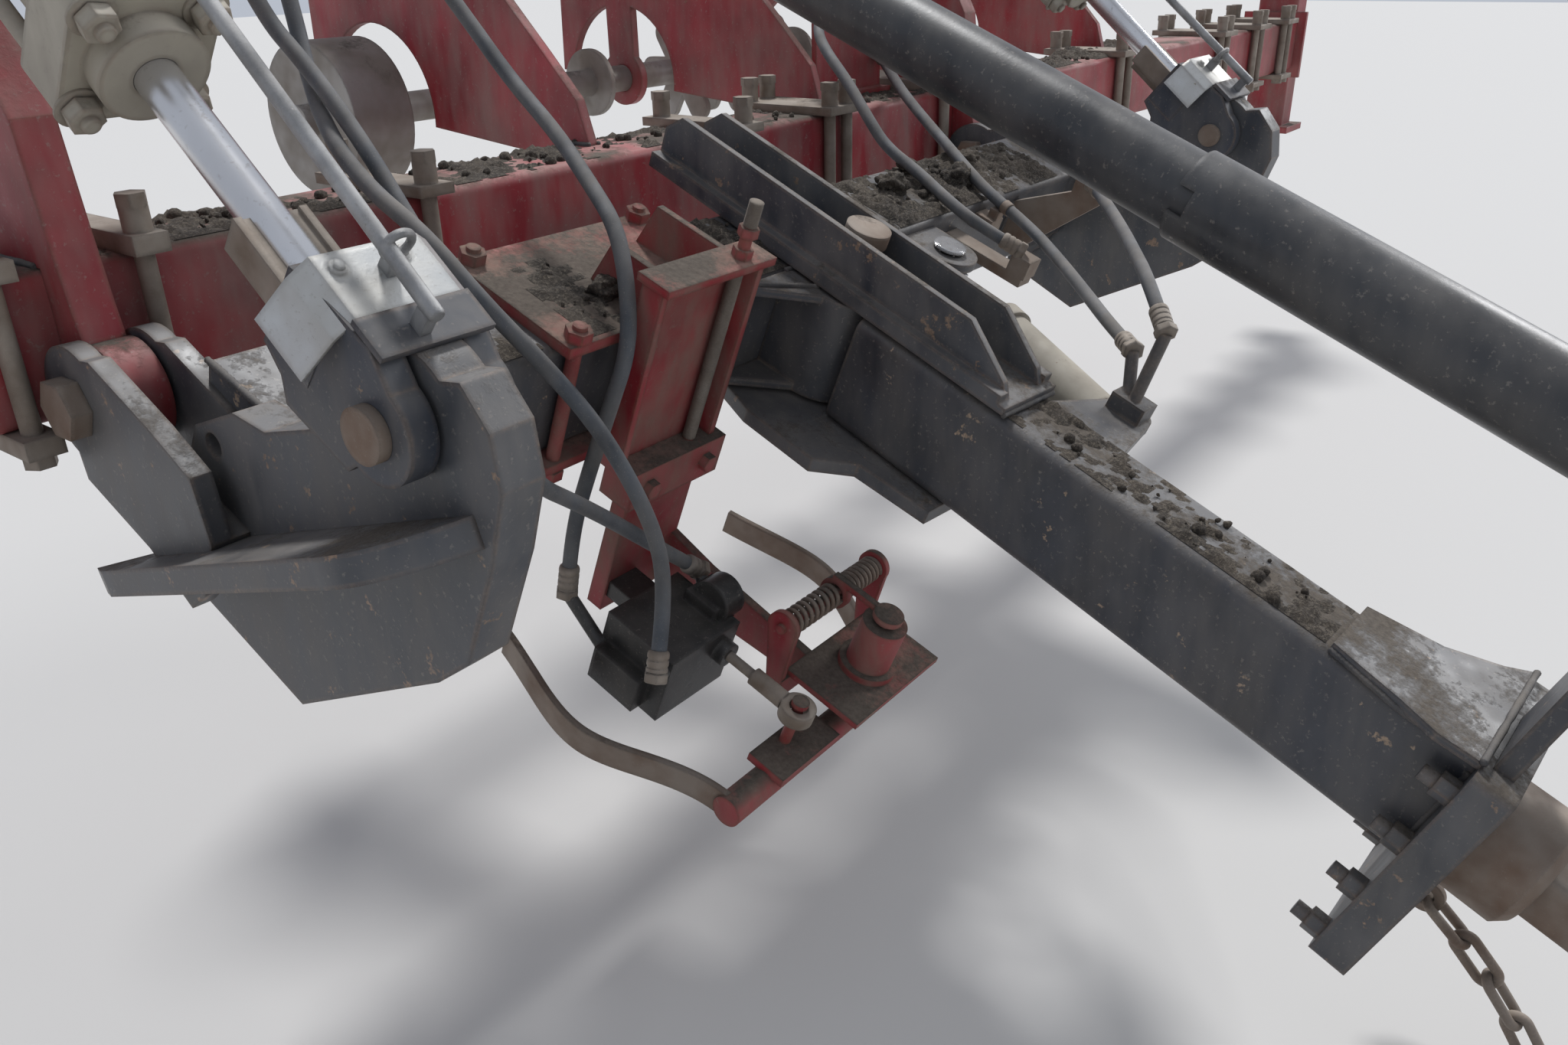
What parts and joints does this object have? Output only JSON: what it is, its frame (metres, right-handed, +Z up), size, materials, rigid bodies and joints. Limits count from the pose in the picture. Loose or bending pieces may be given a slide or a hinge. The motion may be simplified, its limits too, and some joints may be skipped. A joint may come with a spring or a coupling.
{
  "type": "front hitch and toolbar of a towed sugar beet harvester",
  "caption": "Front hitch of a towed root harvester: square toolbar with masts, tilting hitch frame on two lift cylinders, steered drawbar, driveline and row finder.",
  "frame": {"origin": "centre of the toolbar's back face, at mid height and mid length", "axes": "+X along the toolbar to the machine's left-hand end as seen from the front, +Y rearward into the machine, +Z up"},
  "size_m": [7.638, 2.7796, 1.8523],
  "materials": {
    "red_paint": "satin red paint, dusty and rusted at the edges",
    "black_paint": "black paint under dried soil",
    "zinc_bolts": "dull zinc plating",
    "worn_steel": "worn steel with rust",
    "bare_steel": "soil-polished steel",
    "cylinder_paint": "dusty cream paint",
    "chrome_rod": "hard chrome",
    "blue_clevis": "dark blue paint, chipped",
    "valve_black": "oily black casting",
    "hose_rubber": "dusty black hose rubber",
    "driveline_paint": "black paint, scuffed through to steel"
  },
  "bodies": {
    "frame": {"toolbar": "red_paint", "end_posts": "red_paint", "toolbar_clamps": "zinc_bolts", "masts": "red_paint", "mast_clamps": "red_paint", "hinge_bolts": "worn_steel", "base_pins": "worn_steel", "frame_plates": "red_paint", "hose_bracket": "red_paint", "side_unions": "red_paint"},
    "paddle_rotor": {"paddle_shaft": "bare_steel"},
    "hitch_frame": {"cross_tube": "black_paint", "end_plates": "black_paint", "hinge_ears": "black_paint", "side_ribs": "black_paint", "pivot_housing": "black_paint", "king_pin": "worn_steel", "steer_bracket": "black_paint", "finder_mount": "red_paint", "finder_column": "red_paint", "finder_shank": "red_paint", "finder_head": "red_paint", "finder_valve": "valve_black", "union_brackets": "worn_steel", "hose_valve_a": "hose_rubber", "hose_valve_b": "hose_rubber", "hose_valve_c": "hose_rubber", "hose_cross_d": "hose_rubber", "hose_cross_e": "hose_rubber", "hose_drawbar_f": "hose_rubber", "hose_drawbar_g": "hose_rubber"},
    "drawbar": {"drawbar": "black_paint", "king_channel": "black_paint", "belly_plate": "black_paint", "front_flange": "black_paint", "flange_gusset": "black_paint", "coupler": "worn_steel", "safety_chain": "worn_steel", "drawbar_lug": "black_paint", "driveline_stand": "black_paint"},
    "driveline": {"driveline_shaft": "driveline_paint"},
    "driveline_sleeve": {"driveline_sleeve": "driveline_paint"},
    "lift_barrel_left": {"lift_barrel_left": "cylinder_paint"},
    "lift_barrel_right": {"lift_barrel_right": "cylinder_paint"},
    "lift_rod_left": {"lift_rod_left": "chrome_rod", "rod_clevis_left": "blue_clevis", "lift_pin_left": "worn_steel", "stroke_collar_left": "zinc_bolts"},
    "lift_rod_right": {"lift_rod_right": "chrome_rod", "rod_clevis_right": "blue_clevis", "lift_pin_right": "worn_steel", "stroke_collar_right": "zinc_bolts"},
    "steer_barrel": {"steer_barrel": "cylinder_paint"},
    "steer_rod": {"steer_rod": "chrome_rod"},
    "feeler": {"feeler_arm": "red_paint", "feeler_blades": "worn_steel"},
    "valve_link": {"valve_link": "zinc_bolts"}
  },
  "joints": [
    {"name": "hitch_tilt", "type": "hinge", "parent": "frame", "child": "hitch_frame", "pos_m": [0, -0.255, -0.052], "axis": [-1, 0, 0], "range_deg": [-7, 22], "deforming": ["hose_valve_a", "hose_valve_b", "hose_valve_c", "hose_cross_d", "hose_cross_e"]},
    {"name": "drawbar_steer", "type": "hinge", "parent": "hitch_frame", "child": "drawbar", "pos_m": [-0.057, -0.57519, -0.18046], "axis": [0, -0.3723, 0.9281], "range_deg": [-10.9, 19.1], "deforming": ["hose_drawbar_f", "hose_drawbar_g"]},
    {"name": "paddle_spin", "type": "hinge", "parent": "frame", "child": "paddle_rotor", "pos_m": [0, 0.52, 0.117], "axis": [1, 0, 0], "continuous": true},
    {"name": "driveline_spin", "type": "hinge", "parent": "drawbar", "child": "driveline", "pos_m": [-0.057, -0.75578, 0.26967], "axis": [-0.0708, -0.9258, -0.3714], "continuous": true},
    {"name": "driveline_slide", "type": "slide", "parent": "driveline", "child": "driveline_sleeve", "axis": [-0.0708, -0.9258, -0.3714], "range_m": [-0.05, 0.15]},
    {"name": "feeler_swing", "type": "hinge", "parent": "hitch_frame", "child": "feeler", "pos_m": [-0.265, -0.78922, -0.62189], "axis": [0, -0.3723, 0.9281], "range_deg": [-12, 12], "stiffness_Nm_per_rad": 120},
    {"name": "valve_link_slide", "type": "slide", "parent": "hitch_frame", "child": "valve_link", "axis": [0, -0.9281, -0.3723], "range_m": [-0.04179, 0.04179]},
    {"name": "lift_barrel_left_turn", "type": "hinge", "parent": "frame", "child": "lift_barrel_left", "pos_m": [-1.031, -0.084, 0.651], "axis": [-1, 0, 0], "range_deg": [-3.09, 8.65]},
    {"name": "lift_rod_left_slide", "type": "slide", "parent": "lift_barrel_left", "child": "lift_rod_left", "axis": [0, -0.7623, -0.6472], "range_m": [-0.17767, 0.05858]},
    {"name": "lift_barrel_right_turn", "type": "hinge", "parent": "frame", "child": "lift_barrel_right", "pos_m": [1.031, -0.084, 0.651], "axis": [-1, 0, 0], "range_deg": [-3.09, 8.65]},
    {"name": "lift_rod_right_slide", "type": "slide", "parent": "lift_barrel_right", "child": "lift_rod_right", "axis": [0, -0.7623, -0.6472], "range_m": [-0.17767, 0.05858]},
    {"name": "steer_barrel_turn", "type": "hinge", "parent": "drawbar", "child": "steer_barrel", "pos_m": [0.10137, -1.01177, -0.30712], "axis": [0, -0.3723, 0.9281], "range_deg": [-4.37, 2.71]},
    {"name": "steer_rod_slide", "type": "slide", "parent": "steer_barrel", "child": "steer_rod", "axis": [0.3459, 0.8708, 0.3493], "range_m": [-0.107, 0.06235]}
  ],
  "couplings": [
    {"joint": "lift_barrel_left_turn", "follows": "hitch_tilt", "ratio": 0.37025},
    {"joint": "lift_rod_left_slide", "follows": "hitch_tilt", "m_per_rad": -0.45489},
    {"joint": "lift_barrel_right_turn", "follows": "hitch_tilt", "ratio": 0.37025},
    {"joint": "lift_rod_right_slide", "follows": "hitch_tilt", "m_per_rad": -0.45489},
    {"joint": "steer_barrel_turn", "follows": "drawbar_steer", "ratio": -0.20243},
    {"joint": "steer_rod_slide", "follows": "drawbar_steer", "m_per_rad": -0.31198},
    {"joint": "valve_link_slide", "follows": "feeler_swing", "m_per_rad": 0.19}
  ]
}
